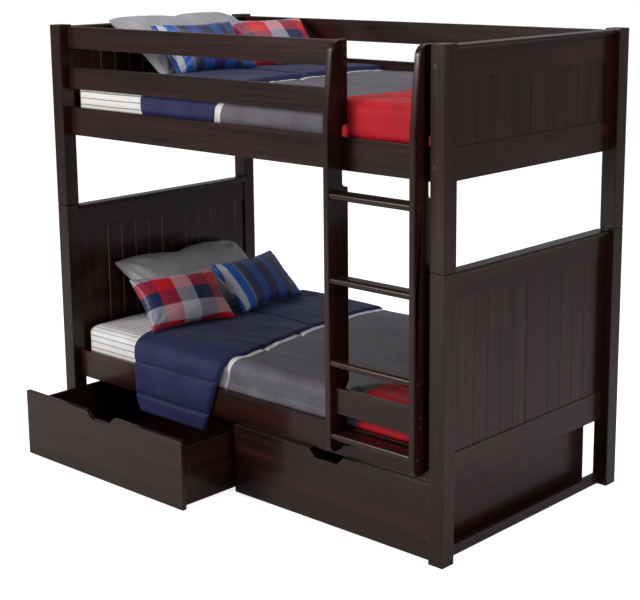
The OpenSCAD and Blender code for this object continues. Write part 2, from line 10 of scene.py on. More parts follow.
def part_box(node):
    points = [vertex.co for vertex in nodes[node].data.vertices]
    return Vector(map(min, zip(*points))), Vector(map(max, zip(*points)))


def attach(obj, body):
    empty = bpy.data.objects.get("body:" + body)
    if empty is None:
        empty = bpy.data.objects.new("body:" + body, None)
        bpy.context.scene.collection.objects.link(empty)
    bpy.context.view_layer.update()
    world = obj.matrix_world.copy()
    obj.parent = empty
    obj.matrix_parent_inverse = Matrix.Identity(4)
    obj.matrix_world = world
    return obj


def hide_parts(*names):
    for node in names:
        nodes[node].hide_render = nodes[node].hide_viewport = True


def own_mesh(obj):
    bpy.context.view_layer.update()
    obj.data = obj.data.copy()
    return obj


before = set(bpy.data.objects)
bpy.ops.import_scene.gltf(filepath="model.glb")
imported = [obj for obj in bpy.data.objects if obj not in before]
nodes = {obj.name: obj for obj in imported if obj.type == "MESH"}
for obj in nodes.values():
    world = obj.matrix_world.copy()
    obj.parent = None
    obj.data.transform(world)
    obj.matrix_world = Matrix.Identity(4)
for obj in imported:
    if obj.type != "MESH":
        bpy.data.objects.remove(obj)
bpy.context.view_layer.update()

scene = bpy.context.scene


# ---- The studio ----
# A pale seamless floor under a white room, one large soft lamp high on the left of the ladder side,
# a weaker one facing the foot end, and one from above that lifts the upper bunk.
def linear(colour):
    """A "#rrggbb" sRGB colour as linear red, green, blue and alpha."""
    shares = [int(colour[i:i + 2], 16) / 255 for i in (1, 3, 5)]
    return [c / 12.92 if c <= 0.04045 else ((c + 0.055) / 1.055) ** 2.4 for c in shares] + [1.0]


def add(tree, kind, **settings):
    """Adds a shader node. Each setting is a socket's value or link, or a property, by its name."""
    node = tree.nodes.new("ShaderNode" + kind)
    for name, value in settings.items():
        if name == "ramp":
            elements = node.color_ramp.elements
            while len(elements) < len(value):
                elements.new(1.0)
            for element, (place, colour) in zip(elements, value):
                element.position, element.color = place, colour
            continue
        key = int(name[1:]) if name[0] == "_" else name.replace("_", " ")
        known = isinstance(key, int) or key in node.inputs
        if not known:
            setattr(node, name, value)
        elif isinstance(value, bpy.types.NodeSocket):
            tree.links.new(value, node.inputs[key])
        elif isinstance(value, bpy.types.Node):
            tree.links.new(value.outputs[0], node.inputs[key])
        else:
            node.inputs[key].default_value = value
    return node


def new_material(name):
    """An empty material with its output node, as (material, node tree)."""
    material = bpy.data.materials.new(name)
    material.use_nodes = True
    tree = material.node_tree
    tree.nodes.clear()
    return material, tree


def new_mesh(name, points, faces, smooth=True):
    """A mesh object in the scene, made from points in metres."""
    mesh = bpy.data.meshes.new(name)
    mesh.from_pydata([tuple(p) for p in points], [], [tuple(f) for f in faces])
    mesh.update()
    mesh.polygons.foreach_set("use_smooth", [smooth] * len(mesh.polygons))
    piece = bpy.data.objects.new(name, mesh)
    scene.collection.objects.link(piece)
    return piece


def backdrop():
    """White paper. Seen directly it is as bright as the room, and elsewhere it only reflects the lamps."""
    reach, direct_glow = 30, 0.78
    material, tree = new_material("matt_studio_paper")
    coords = add(tree, "TexCoord").outputs["Object"]
    mottle = add(tree, "TexNoise", Vector=coords, Scale=3.0, Detail=3.0)
    paper = add(tree, "ValToRGB", Fac=mottle, ramp=[(0.0, linear("#ececed")), (1.0, linear("#f4f4f4"))])
    seen = add(tree, "LightPath").outputs["Is Camera Ray"]
    lift = add(tree, "Math", operation="MULTIPLY", _0=seen, _1=direct_glow)
    shader = add(tree, "BsdfPrincipled", Base_Color=paper, Roughness=0.9,
                 Emission_Color=linear("#ffffff"), Emission_Strength=lift)
    add(tree, "OutputMaterial", Surface=shader)
    corners = [(-reach, -reach, 0), (reach, -reach, 0), (reach, reach, 0), (-reach, reach, 0)]
    floor = new_mesh("studio_floor", corners, [(0, 1, 2, 3)])
    floor.data.materials.append(material)


def soft_lamp(name, place, aim, size, watts, colour):
    """A round soft lamp at a place, facing another."""
    light = bpy.data.lights.new(name, "AREA")
    light.shape, light.size, light.energy, light.color = "DISK", size, watts, linear(colour)[:3]
    lamp = bpy.data.objects.new(name, light)
    lamp.location = place
    lamp.rotation_euler = (Vector(aim) - Vector(place)).to_track_quat("-Z", "Y").to_euler()
    scene.collection.objects.link(lamp)


backdrop()
soft_lamp("key_softbox", (-2.6, -5.6, 3.2), (0, 0, 0.8), 2.4, 300, "#fffaf4")
soft_lamp("foot_softbox", (5.4, -1.2, 2.8), (0, 0, 0.8), 2.0, 120, "#f8f9ff")
soft_lamp("top_softbox", (0.4, 0.6, 4.6), (0, 0, 1.0), 2.4, 60, "#ffffff")
world = bpy.data.worlds.new("white_room")
world.use_nodes = True
sky = world.node_tree.nodes["Background"]
sky.inputs["Color"].default_value = linear("#ffffff")
# the room lights the bed gently, and looks white where the camera sees it
room, glow = 0.32, 1.05
seen = add(world.node_tree, "LightPath").outputs["Is Camera Ray"]
shown = add(world.node_tree, "MapRange", _0=seen, _3=room, _4=glow)
world.node_tree.links.new(shown.outputs[0], sky.inputs["Strength"])
scene.world = world
scene.view_settings.view_transform = "Standard"

# The camera stands off the foot end's ladder corner, a little above the upper bunk
azimuth, elevation, roll = math.radians(43.11), math.radians(11.62), math.radians(-0.58)
back = Vector((math.sin(azimuth) * math.cos(elevation), -math.cos(azimuth) * math.cos(elevation),
               math.sin(elevation)))
level = back.cross(Vector((0, 0, -1))).normalized()
upward = back.cross(level)
right = level * math.cos(roll) + upward * math.sin(roll)
up = upward * math.cos(roll) - level * math.sin(roll)
lens = bpy.data.cameras.new("product_camera")
lens.sensor_width, lens.lens, lens.shift_y = 36, 81.06, -0.094
camera = bpy.data.objects.new("product_camera", lens)
camera.matrix_world = Matrix((right, up, back)).transposed().to_4x4()
camera.location = (3.777, -3.945, 2.0435)
scene.collection.objects.link(camera)
scene.camera = camera


# ---- The wooden frame ----
# Posts, rails, beadboard panels, caps, ladder and drawers are solid hardwood and board, stained espresso
# and sprayed with a satin lacquer. Their edges are eased, and the posts stack on steel pins.
def espresso_wood(name, along, gloss=0.28, lacquer=0.22, slant_face_painted_light=None):
    """Stained and lacquered wood whose grain runs along an axis: near black, with a red-brown glow
    where the stain is thin, soft highlights, and fine open pores under the lacquer. The grooves'
    colour, if given, is painted light on the slanted sides of a beadboard's grooves, the only faces at
    a slant: a painted highlight where it is pale, painted shade where it is dark."""
    material, tree = new_material(name)
    coords = add(tree, "TexCoord").outputs["Object"]
    def stretched(width_mm, length_mm):
        scale = [1000 / length_mm if axis == along else 1000 / width_mm for axis in "xyz"]
        return add(tree, "Mapping", Vector=coords, Scale=scale)
    figure = add(tree, "TexNoise", Vector=stretched(55, 900), Scale=1.0, Detail=3.0, Distortion=0.9)
    streaks = add(tree, "TexNoise", Vector=stretched(11, 520), Scale=1.0, Detail=4.0, Roughness=0.55)
    pores = add(tree, "TexNoise", Vector=stretched(2.5, 60), Scale=1.0, Detail=3.0, Roughness=0.7)
    both = add(tree, "MixRGB", Fac=0.22, Color1=figure, Color2=streaks)
    stain = [(0.28, linear("#140706")), (0.46, linear("#1d0a08")),
             (0.60, linear("#270f0b")), (0.78, linear("#3c160f"))]
    colour = add(tree, "ValToRGB", Fac=both, ramp=stain).outputs["Color"]
    if slant_face_painted_light:
        # painted light: the faces at a slant, the grooves' sides, take the given colour, a painted highlight
        # in the head boards and painted shade in the foot boards
        facing = add(tree, "SeparateXYZ", Vector=add(tree, "NewGeometry").outputs["True Normal"])
        slant = add(tree, "Math", operation="ABSOLUTE", _0=facing.outputs["Y"])
        side = add(tree, "MapRange", _0=slant, _1=0.2, _2=0.55, _3=0.0, _4=0.85)
        colour = add(tree, "MixRGB", Fac=side.outputs[0], Color1=colour, Color2=linear(slant_face_painted_light)).outputs[0]
    sheen = add(tree, "MapRange", _0=streaks.outputs["Fac"], _1=0.3, _2=0.7,
                _3=gloss - 0.04, _4=gloss + 0.08)
    relief = add(tree, "Bump", Strength=0.10, Distance=0.0004, Height=pores.outputs["Fac"])
    shader = add(tree, "BsdfPrincipled", Base_Color=colour, Roughness=sheen.outputs[0], Normal=relief,
                 Specular_IOR_Level=0.2, Coat_Weight=lacquer, Coat_Roughness=0.12, Coat_IOR=1.45)
    add(tree, "OutputMaterial", Surface=shader)
    return material


wood_along = {axis: espresso_wood("espresso_lacquered_wood_" + axis, axis) for axis in "xyz"}
# the head boards' grooves have a painted highlight, pale red-brown, where their edges would catch the
# light, and the foot boards' grooves have painted shade, near black
beaded_wood = {"head": espresso_wood("beadboard_with_painted_highlight", "z", slant_face_painted_light="#7d5348"),
               "foot": espresso_wood("beadboard_with_painted_shade", "z", slant_face_painted_light="#050202")}
stained_slat = espresso_wood("stained_slat_wood", "y", gloss=0.55, lacquer=0.0)


def dress(node, material, ease_mm):
    """Gives a CAD node its material, joins its facets into flat faces and eases its edges by a bevel."""
    piece = nodes[node]
    piece.data.materials.clear()
    piece.data.materials.append(material)
    weld = piece.modifiers.new("weld", "WELD")
    weld.merge_threshold = 0.00002
    flat = piece.modifiers.new("flat_faces", "DECIMATE")
    flat.decimate_type, flat.angle_limit = "DISSOLVE", math.radians(0.5)
    ease = piece.modifiers.new("eased_edges", "BEVEL")
    ease.width, ease.segments, ease.limit_method = ease_mm / 1000, 3, "ANGLE"
    ease.angle_limit, ease.use_clamp_overlap = math.radians(32), False
    piece.modifiers.new("even_normals", "WEIGHTED_NORMAL").keep_sharp = False


grain = {
    "post_": "z", "side_rail_": "x", "guard_rails_": "x", "end_caps": "y", "floor_rails": "y",
    "panel_rails_": "y", "beadboard_": "z", "ladder_stile_": "z", "ladder_rungs": "x", "ladder_brace": "x",
}
eased = {"post_": 1.2, "beadboard_": 0.6, "end_caps": 1.0, "ladder_stile_": 4.5, "ladder_rungs": 2.0}
for node in nodes:
    for start, axis in grain.items():
        if node.startswith(start):
            wood = beaded_wood[node[-4:]] if start == "beadboard_" else wood_along[axis]
            dress(node, wood, eased.get(start, 2.2))

# ---- Slats and cleats ----
# Thirteen softwood slats lie across each bunk on cleats that are screwed to the side rails.
# They're stained to match but not lacquered, so they are duller than the frame.
for node in ("slats_lower", "slats_upper", "slat_cleats"):
    dress(node, stained_slat, 1.5)


# ---- Bolts, screws and pins ----
# Barrel bolts with hex sockets hold the rails in the posts, and smaller screws hold the ladder. They are
# antique brass, brown in the recesses and rubbed bright on the rims. The stacking pins are zinc plated.
def worn_metal(name, dark, bright, roughness, grit_mm):
    """Metal that is dull and dark where it's tarnished, and smoother where it's rubbed bright."""
    material, tree = new_material(name)
    coords = add(tree, "TexCoord").outputs["Object"]
    tarnish = add(tree, "TexNoise", Vector=coords, Scale=1000 / grit_mm, Detail=4.0)
    colour = add(tree, "ValToRGB", Fac=tarnish, ramp=[(0.35, linear(dark)), (0.62, linear(bright))])
    rough = add(tree, "MapRange", _0=tarnish.outputs["Fac"], _1=0.3, _2=0.7,
                _3=roughness + 0.12, _4=roughness)
    relief = add(tree, "Bump", Strength=0.2, Distance=0.0002, Height=tarnish.outputs["Fac"])
    shader = add(tree, "BsdfPrincipled", Base_Color=colour, Metallic=1.0, Roughness=rough.outputs[0],
                 Normal=relief)
    add(tree, "OutputMaterial", Surface=shader)
    return material


antique_brass = worn_metal("antique_brass", "#1f1812", "#6b5a40", 0.34, 3)
zinc_plate = worn_metal("zinc_plated_steel", "#8d9095", "#c3c6ca", 0.3, 4)
for node in ("frame_bolts", "ladder_bolts"):
    dress(node, antique_brass, 0.5)
dress("stacking_pins", zinc_plate, 1.0)

# ---- Drawers ----
# Each drawer is a flat front with a hand notch, screwed to a low box with a thin bottom, and rolls on four
# fixed casters. Three screw heads show near the front of each side.
for side in ("left", "right"):
    dress(f"drawer_{side}_front", wood_along["x"], 2.2)
    dress(f"drawer_{side}_box", wood_along["y"], 1.2)
    dress(f"drawer_{side}_bottom", wood_along["y"], 0.6)


def screw_heads(side):
    """The countersunk heads along both outer faces of a drawer's sides."""
    low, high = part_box(f"drawer_{side}_box")
    front = low.y + 0.032
    heights = [low.z + share * (high.z - low.z) for share in (0.08, 0.36, 0.66)]
    radius, dome, ring = 0.0042, 0.0012, 16
    points, faces = [], []
    for outward, x in ((-1, low.x), (1, high.x)):
        for z in heights:
            first = len(points)
            for share, out in ((1.0, 0.0), (0.82, dome * 0.7), (0.45, dome), (0.38, dome * 0.3)):
                for k in range(ring):
                    turn = outward * 2 * math.pi * k / ring
                    points.append((x + outward * out, front + radius * share * math.cos(turn),
                                   z + radius * share * math.sin(turn)))
            for row in range(3):
                for k in range(ring):
                    a, b = first + row * ring + k, first + row * ring + (k + 1) % ring
                    faces.append((a, b, b + ring, a + ring))
            faces.append([first + 3 * ring + k for k in range(ring)])
            faces.append([first + k for k in reversed(range(ring))])
    heads = new_mesh(f"drawer_{side}_screw_heads", points, faces)
    heads.data.materials.append(antique_brass)
    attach(heads, f"{side}_drawer")


for side in ("left", "right"):
    screw_heads(side)


# ---- Casters ----
# Pressed steel forks, powder coated black, are screwed under the drawer bottoms. Each carries a moulded
# black nylon wheel with a slightly scuffed tread.
def black_finish(name, dark, scuffed, roughness, speck_mm):
    """A black surface with soft highlights, a fine pebbled texture and paler scuffed specks."""
    material, tree = new_material(name)
    coords = add(tree, "TexCoord").outputs["Object"]
    specks = add(tree, "TexNoise", Vector=coords, Scale=1000 / speck_mm, Detail=5.0)
    colour = add(tree, "ValToRGB", Fac=specks, ramp=[(0.42, linear(dark)), (0.75, linear(scuffed))])
    relief = add(tree, "Bump", Strength=0.25, Distance=0.0003, Height=specks.outputs["Fac"])
    shader = add(tree, "BsdfPrincipled", Base_Color=colour, Roughness=roughness, Normal=relief)
    add(tree, "OutputMaterial", Surface=shader)
    return material


powder_coat = black_finish("black_powder_coat", "#101011", "#1d1d1f", 0.45, 2)
nylon = black_finish("moulded_nylon", "#151516", "#35353a", 0.5, 5)
for side in ("left", "right"):
    dress(f"drawer_{side}_casters", powder_coat, 0.4)
    for k in range(1, 5):
        dress(f"drawer_{side}_wheel_{k}", nylon, 0.6)


# ---- Mattresses ----
# A foam mattress lies on each bunk's slats, with a little room at the side rails. A fitted cotton sheet
# covers it, white with thin grey stripes that run along the bed, on its top and its sides.
mattress_cells = (120, 60, 12)


def block_lattice(cells):
    """The skin of a block of cells as whole-number points and outward quads."""
    index, points, faces = {}, [], []
    def corner(p):
        if p not in index:
            index[p] = len(points)
            points.append(p)
        return index[p]
    for axis in range(3):
        a, b = (axis + 1) % 3, (axis + 2) % 3
        for end in (0, cells[axis]):
            for i in range(cells[a]):
                for j in range(cells[b]):
                    quad = []
                    for da, db in ((0, 0), (1, 0), (1, 1), (0, 1)):
                        p = [0, 0, 0]
                        p[axis], p[a], p[b] = end, i + da, j + db
                        quad.append(corner(tuple(p)))
                    faces.append(quad if end else quad[::-1])
    return np.array(points, float), faces


def wave(x, y, z, size):
    """Smooth noise from -1 to 1 at a size in metres."""
    return noise.noise(Vector((x / size, y / size, z / size)))


def mattress_skin(low, high, cells, grow):
    """A mattress's surface, grown outward by a distance: round corners and edges, a slight crown and
    the soft ripples of stretched cotton. Gives its lattice, points and faces."""
    centre, half = (low + high) / 2, (high - low) / 2
    lattice, faces = block_lattice(cells)
    round_r, corner_r = 0.03, 0.055
    points = []
    for p in lattice:
        q = [2 * p[k] / cells[k] - 1 for k in range(3)]
        # finer cells near the round edges
        q = [math.copysign(1 - (1 - abs(v)) ** 1.25, v) for v in q]
        v = Vector([q[k] * half[k] for k in range(3)])
        inner = Vector((max(corner_r - half[0], min(half[0] - corner_r, v.x)),
                        max(corner_r - half[1], min(half[1] - corner_r, v.y)),
                        max(round_r - half[2], min(half[2] - round_r, v.z))))
        away = Vector(((v.x - inner.x) / corner_r, (v.y - inner.y) / corner_r, (v.z - inner.z) / round_r))
        if away.length > 1e-9:
            away = away.normalized() * max(abs(c) for c in away)
        out = away.normalized() if away.length > 1e-9 else Vector((0, 0, 0))
        v = inner + Vector((away.x * corner_r, away.y * corner_r, away.z * round_r)) + out * grow
        ripple = wave(v.x, v.y * 1.5, v.z, 0.16) * 0.0018 + wave(v.x * 3, v.y, v.z * 3, 0.07) * 0.0008
        crown = 1 - (v.x / half.x) ** 4 * 0.5 - (v.y / half.y) ** 4 * 0.5
        v.z += (ripple - 0.004 * (1 - crown)) * (1 if v.z > 0 else 0)
        v.y -= math.copysign(0.002 + ripple, v.y) * (abs(v.y) / half.y) ** 8
        points.append(centre + v)
    return lattice, points, faces


def mattress(bunk):
    """The foam block in its ticking, just inside the sheet."""
    low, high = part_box("mattress_" + bunk)
    _, points, faces = mattress_skin(low, high, mattress_cells, -0.0015)
    core = new_mesh(f"mattress_{bunk}_foam_in_ticking", points, faces)
    core.data.materials.append(ticking)
    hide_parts("mattress_" + bunk)
    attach(core, "frame")


def fitted_sheet(bunk):
    """The sheet is one layer over the mattress's top and sides, and is cut away at its four corners."""
    low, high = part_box("mattress_" + bunk)
    lattice, points, faces = mattress_skin(low, high, mattress_cells, 0.0005)
    # every face but those of the underside
    faces = [f for f in faces if min(lattice[v][2] for v in f) >= 1 or len({lattice[v][2] for v in f}) > 1]
    used = sorted({v for f in faces for v in f})
    renumber = {v: k for k, v in enumerate(used)}
    piece = new_mesh("fitted_sheet_" + bunk, [points[v] for v in used],
                     [[renumber[v] for v in f] for f in faces])
    piece.data.materials.append(striped_sheet((low.y + high.y) / 2, high.z))
    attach(piece, "frame")


def weave(tree, coords, thread_mm, strength, under=None):
    """A plain weave's bump. Its threads are drawn coarser than real ones, which wouldn't show."""
    scale = 1000 * math.pi / 10 / thread_mm
    waves = [add(tree, "TexWave", Vector=coords, bands_direction=axis, Scale=scale,
                 Distortion=0.5, Detail=1.0) for axis in ("X", "Y", "Z")]
    pair = add(tree, "MixRGB", blend_type="MULTIPLY", Fac=0.6, Color1=waves[0], Color2=waves[1])
    cloth = add(tree, "MixRGB", blend_type="MULTIPLY", Fac=0.6, Color1=pair, Color2=waves[2])
    bump = add(tree, "Bump", Strength=strength, Distance=0.0004, Height=cloth)
    if under:
        tree.links.new(under.outputs[0], bump.inputs["Normal"])
    return bump


def rumple(tree, coords, fold_mm, depth_mm, strength=0.5):
    """The small soft folds of laid cotton, as a bump."""
    folds = add(tree, "TexNoise", Vector=coords, Scale=1000 / fold_mm, Detail=2.5, Distortion=0.7)
    return add(tree, "Bump", Strength=strength, Distance=depth_mm / 1000, Height=folds.outputs["Fac"])


def ticking_cloth():
    """Mattress ticking: undyed cotton with a woven blue pinstripe 20 mm apart along the bed."""
    material, tree = new_material("woven_mattress_ticking")
    coords = add(tree, "TexCoord").outputs["Object"]
    scale = 1000 * math.pi / 10 / 20
    stripe = add(tree, "TexWave", Vector=coords, bands_direction="Y", Scale=scale)
    colour = add(tree, "ValToRGB", Fac=stripe, ramp=[(0.90, linear("#d8d4c8")), (0.96, linear("#7486a4"))])
    shader = add(tree, "BsdfPrincipled", Base_Color=colour, Roughness=0.9, Specular_IOR_Level=0.2,
                 Normal=weave(tree, coords, 3.0, 0.4))
    add(tree, "OutputMaterial", Surface=shader)
    return material


ticking = ticking_cloth()


def striped_sheet(middle_y, top_z):
    """Cotton percale, matt, with woven stripes: thin, soft-edged and evenly spaced round the mattress."""
    material, tree = new_material("striped_percale")
    pitch_mm, stripe_mm = 26, 3.4
    coords = add(tree, "TexCoord").outputs["Object"]
    place = add(tree, "SeparateXYZ", Vector=coords)
    across = add(tree, "Math", operation="SUBTRACT", _0=place.outputs["Y"], _1=middle_y)
    across = add(tree, "Math", operation="ABSOLUTE", _0=across)
    down = add(tree, "Math", operation="SUBTRACT", _0=top_z, _1=place.outputs["Z"])
    girth = add(tree, "Math", operation="ADD", _0=across, _1=down)
    turns = add(tree, "Math", operation="MULTIPLY", _0=girth, _1=1000 / pitch_mm)
    share = add(tree, "Math", operation="FRACT", _0=turns)
    far = add(tree, "Math", operation="SUBTRACT", _0=share, _1=0.5)
    far = add(tree, "Math", operation="ABSOLUTE", _0=far)
    edge = stripe_mm / pitch_mm / 2
    line = add(tree, "MapRange", _0=far.outputs[0], _1=edge * 0.7, _2=edge * 1.4, _3=1.0, _4=0.0)
    cloth = add(tree, "TexNoise", Vector=coords, Scale=1000 / 60, Detail=3.0)
    white = add(tree, "ValToRGB", Fac=cloth, ramp=[(0.3, linear("#d4d5d7")), (0.7, linear("#dfdfe0"))])
    colour = add(tree, "MixRGB", Fac=line.outputs[0], Color1=white, Color2=linear("#77767c"))
    shader = add(tree, "BsdfPrincipled", Base_Color=colour, Roughness=0.85, Specular_IOR_Level=0.2,
                 Normal=weave(tree, coords, 3.0, 0.25, rumple(tree, coords, 70, 4)))
    add(tree, "OutputMaterial", Surface=shader)
    return material


for bunk in ("lower", "upper"):
    mattress(bunk)
    fitted_sheet(bunk)


# ---- Comforters ----
# A quilted cotton comforter covers each bunk: grey and then red on its face, with a light piping tape, and
# navy on the reverse, which shows where it's turned back at the head. Lines of stitching run along the bed.
def dyed_cotton(name, colour, deep, fold_mm=55, gathers_mm=None):
    """Brushed cotton sateen: one dye, darker and lighter in broad random patches, soft folds and a fine
    weave. Where the stitching gathers it, it has close upright pleats on the bed's front side."""
    material, tree = new_material(name)
    coords = add(tree, "TexCoord").outputs["Object"]
    dye = add(tree, "TexNoise", Vector=coords, Scale=1000 / 90, Detail=4.0)
    shade = add(tree, "ValToRGB", Fac=dye, ramp=[(0.32, linear(deep)), (0.68, linear(colour))])
    folds = rumple(tree, coords, fold_mm, 5)
    if gathers_mm:
        lean = add(tree, "SeparateXYZ", Vector=add(tree, "NewGeometry").outputs["Normal"])
        front = add(tree, "MapRange", _0=lean.outputs["Y"], _1=-0.3, _2=-0.9, _3=0.0, _4=0.5)
        close = add(tree, "Mapping", Vector=coords, Scale=(1000 / gathers_mm, 1, 1000 / (gathers_mm * 7)))
        pleat = add(tree, "TexNoise", Vector=close, Scale=1.0, Detail=1.5, Distortion=0.4)
        pleats = add(tree, "Bump", Strength=front.outputs[0], Distance=0.009, Height=pleat.outputs["Fac"])
        tree.links.new(folds.outputs[0], pleats.inputs["Normal"])
        folds = pleats
    shader = add(tree, "BsdfPrincipled", Base_Color=shade, Roughness=0.6, Sheen_Weight=0.04,
                 Specular_IOR_Level=0.16, Normal=weave(tree, coords, 4.0, 0.25, folds))
    add(tree, "OutputMaterial", Surface=shader)
    return material


navy_cotton = dyed_cotton("navy_cotton", "#232850", "#1c2042")
grey_cotton = dyed_cotton("grey_cotton", "#605d67", "#55525b", gathers_mm=15)
red_cotton = dyed_cotton("red_cotton", "#b81323", "#a00d1c", gathers_mm=24)
piping_tape = dyed_cotton("piping_tape", "#cfccd0", "#bdb9bf")
light_thread = dyed_cotton("light_cotton_thread", "#a9a7b0", "#96949d")


class Path:
    """A smooth route in Y and Z for a quilt's section, from points and a corner radius."""

    def __init__(self, corners, radius):
        track = [Vector(corners[0])]
        for before, at, after in zip(corners, corners[1:], corners[2:]):
            at, back, on = Vector(at), Vector(before) - Vector(at), Vector(after) - Vector(at)
            cut = min(radius, back.length * 0.45, on.length * 0.45)
            start, end = at + back.normalized() * cut, at + on.normalized() * cut
            track += [start * (1 - t) ** 2 + at * 2 * t * (1 - t) + end * t * t
                      for t in np.linspace(0, 1, 9)]
        track.append(Vector(corners[-1]))
        self.track = track
        self.marks = [0.0]
        for a, b in zip(track, track[1:]):
            self.marks.append(self.marks[-1] + (b - a).length)
        self.length = self.marks[-1]

    def at(self, s):
        """The place at distance s along the route, and the direction out of it."""
        s = max(0.0, min(self.length, s))
        k = max(0, min(len(self.track) - 2, int(np.searchsorted(self.marks, s)) - 1))
        a, b = self.track[k], self.track[k + 1]
        along = (b - a).normalized()
        return a + along * (s - self.marks[k]), Vector((-along.y, along.x))


def edge_swell(distance, width):
    """0 at an edge, rising in a quarter round to 1 at a width from it."""
    t = max(0.0, min(1.0, distance / width))
    return math.sqrt(1 - (1 - t) ** 2)


def quilt(name, path, ends, thickness, seams, bands, cell=0.009, ripple=None, rolls=(0.02, 0.02, 0.02, 0.02),
          limit=None, thread=None):
    """A padded cloth. path is its section, and ends(s) gives its lowest and highest X at s along it.
    thickness(x, s) is its loft, and seams are the distances s of its lines of stitching. bands are
    materials and the share of the width where each starts. rolls are the round edges' widths, at the
    path's start and end and at the lowest and highest X. limit(x, z) is the lowest Y it may reach,
    and thread is the material of its stitches, if they show."""
    def surface(x, s, x0, x1):
        """The outer point at x and s, the point under it, and the direction out."""
        (y, z), out = path.at(s)
        swell = min(edge_swell(s, rolls[0]), edge_swell(path.length - s, rolls[1]),
                    edge_swell(x - x0, rolls[2]), edge_swell(x1 - x, rolls[3]))
        loft = thickness(x, s)
        # each line of stitching pulls the loft into a puckered valley
        for seam in seams:
            pucker = 1 + 0.35 * math.sin(2 * math.pi * x / 0.031 + 9 * seam)
            loft *= 1 - 0.42 * pucker * math.exp(-((s - seam) / 0.007) ** 2)
            loft -= 0.0022 * math.exp(-((s - seam) / 0.03) ** 2)
        # broad swells, smaller folds and a few sharp creases
        loft += wave(x, s, 0, 0.23) * 0.0060 + wave(x * 0.6, s * 1.6, 3, 0.085) * 0.0030
        loft += (0.5 - abs(wave(x * 0.45, s * 1.3, 5, 0.13))) * 0.004 - 0.002
        if ripple:
            loft += ripple(x, s)
        loft = max(0.003, loft) * swell
        depth = y + out.x * loft
        if limit:
            depth = max(depth, limit(x, z))
        return (x, depth, z + out.y * loft), (x, y - out.x * 0.002 * swell, z - out.y * 0.002 * swell), out

    rows = max(8, round(path.length / cell))
    spans = [ends(path.length * k / 20) for k in range(21)]
    widest = max(high - low for low, high in spans)
    columns = max(8, round(widest / cell))
    outer, inner = [], []
    for i in range(rows + 1):
        s = path.length * i / rows
        x0, x1 = ends(s)
        for j in range(columns + 1):
            top_point, under_point, _ = surface(x0 + (x1 - x0) * j / columns, s, x0, x1)
            outer.append(top_point)
            inner.append(under_point)
    width = columns + 1
    faces, looks = [], []
    def look(j):
        """The band that column j lies in."""
        share = (j + 0.5) / columns
        return max(k for k, (start, _) in enumerate(bands) if k == 0 or share >= start)
    for i in range(rows):
        for j in range(columns):
            a = i * width + j
            faces.append((a, a + 1, a + width + 1, a + width))
            looks.append(look(j))
    offset, kept = {}, []
    for i in range(1, rows):
        for j in range(1, columns):
            offset[i * width + j] = len(outer) + len(kept)
            kept.append(inner[i * width + j])
    def under(i, j):
        rim = i in (0, rows) or j in (0, columns)
        return i * width + j if rim else offset[i * width + j]
    for i in range(rows):
        for j in range(columns):
            faces.append((under(i + 1, j), under(i + 1, j + 1), under(i, j + 1), under(i, j)))
            looks.append(look(j))
    piece = new_mesh(name, outer + kept, faces)
    for _, material in bands:
        piece.data.materials.append(material)
    piece.data.polygons.foreach_set("material_index", looks)
    smooth = piece.modifiers.new("smooth", "SUBSURF")
    smooth.levels = smooth.render_levels = 1
    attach(piece, "frame")
    if thread:
        stitching(name + "_stitches", seams, ends, surface, thread)
    return piece


def stitching(name, seams, ends, surface, thread):
    """Running stitches along the seams, each a short rounded bar of thread that lies in its valley."""
    stitch, pitch, radius = 0.0062, 0.0105, 0.0009
    points, faces = [], []
    for s in seams:
        x0, x1 = ends(s)
        for k in range(int((x1 - x0 - 0.1) / pitch)):
            start = x0 + 0.07 + k * pitch
            first = len(points)
            for part, share in ((0, 0.3), (0.2, 1.0), (0.8, 1.0), (1, 0.3)):
                x = start + stitch * part
                (px, py, pz), _, out = surface(x, s, x0, x1)
                for turn in range(6):
                    around, rise = math.cos(turn * math.pi / 3), math.sin(turn * math.pi / 3) + 0.8
                    points.append((px, py + radius * share * (out.x * rise - out.y * around),
                                   pz + radius * share * (out.y * rise + out.x * around)))
            for ring in range(3):
                for turn in range(6):
                    a, b = first + ring * 6 + turn, first + ring * 6 + (turn + 1) % 6
                    faces.append((a, a + 6, b + 6, b))
            faces.append([first + turn for turn in range(6)])
            faces.append([first + 18 + turn for turn in reversed(range(6))])
    if points:
        piece = new_mesh(name, points, faces)
        piece.data.materials.append(thread)
        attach(piece, "frame")


def pleats(low_s, high_s, pitch=0.014, depth=0.0016):
    """The fine gathers that the stitching pulls into a comforter's hanging side."""
    def ripple(x, s):
        if not low_s < s < high_s:
            return 0.0
        fade = math.sin(math.pi * (s - low_s) / (high_s - low_s)) ** 0.5
        drift = wave(x, s * 0.5, 7, 0.06) * 1.6
        return depth * fade * math.sin(2 * math.pi * x / pitch + drift * 2)
    return ripple


rail_low, rail_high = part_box("side_rail_lower_front")
fold_low, fold_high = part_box("comforter_lower")
mattress_low, mattress_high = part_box("mattress_lower")
lower_top = mattress_high.z + 0.001
front_y, back_y = mattress_low.y - 0.003, mattress_high.y + 0.003
tape_w, tape_under = 0.024, 0.03
hang_y = rail_low.y - 0.006
seam_z = 0.41


def navy_edge(path, s, top):
    """Where the turned-back layer ends in X, at a distance s along a section: it slants up the front
    side and wanders a little across the top."""
    bend_x, bend_girth, slant = -0.036, 0.056, 0.43
    sweep, sweep_run, sway, sway_rate = 0.075, 0.35, 0.016, 7
    (y, z), _ = path.at(s)
    across = min(z, top) - top + max(0, y - front_y) - bend_girth
    if across < 0:
        return bend_x + across * slant
    return bend_x - sweep * min(1, across / sweep_run) + sway * math.sin(across * sway_rate)


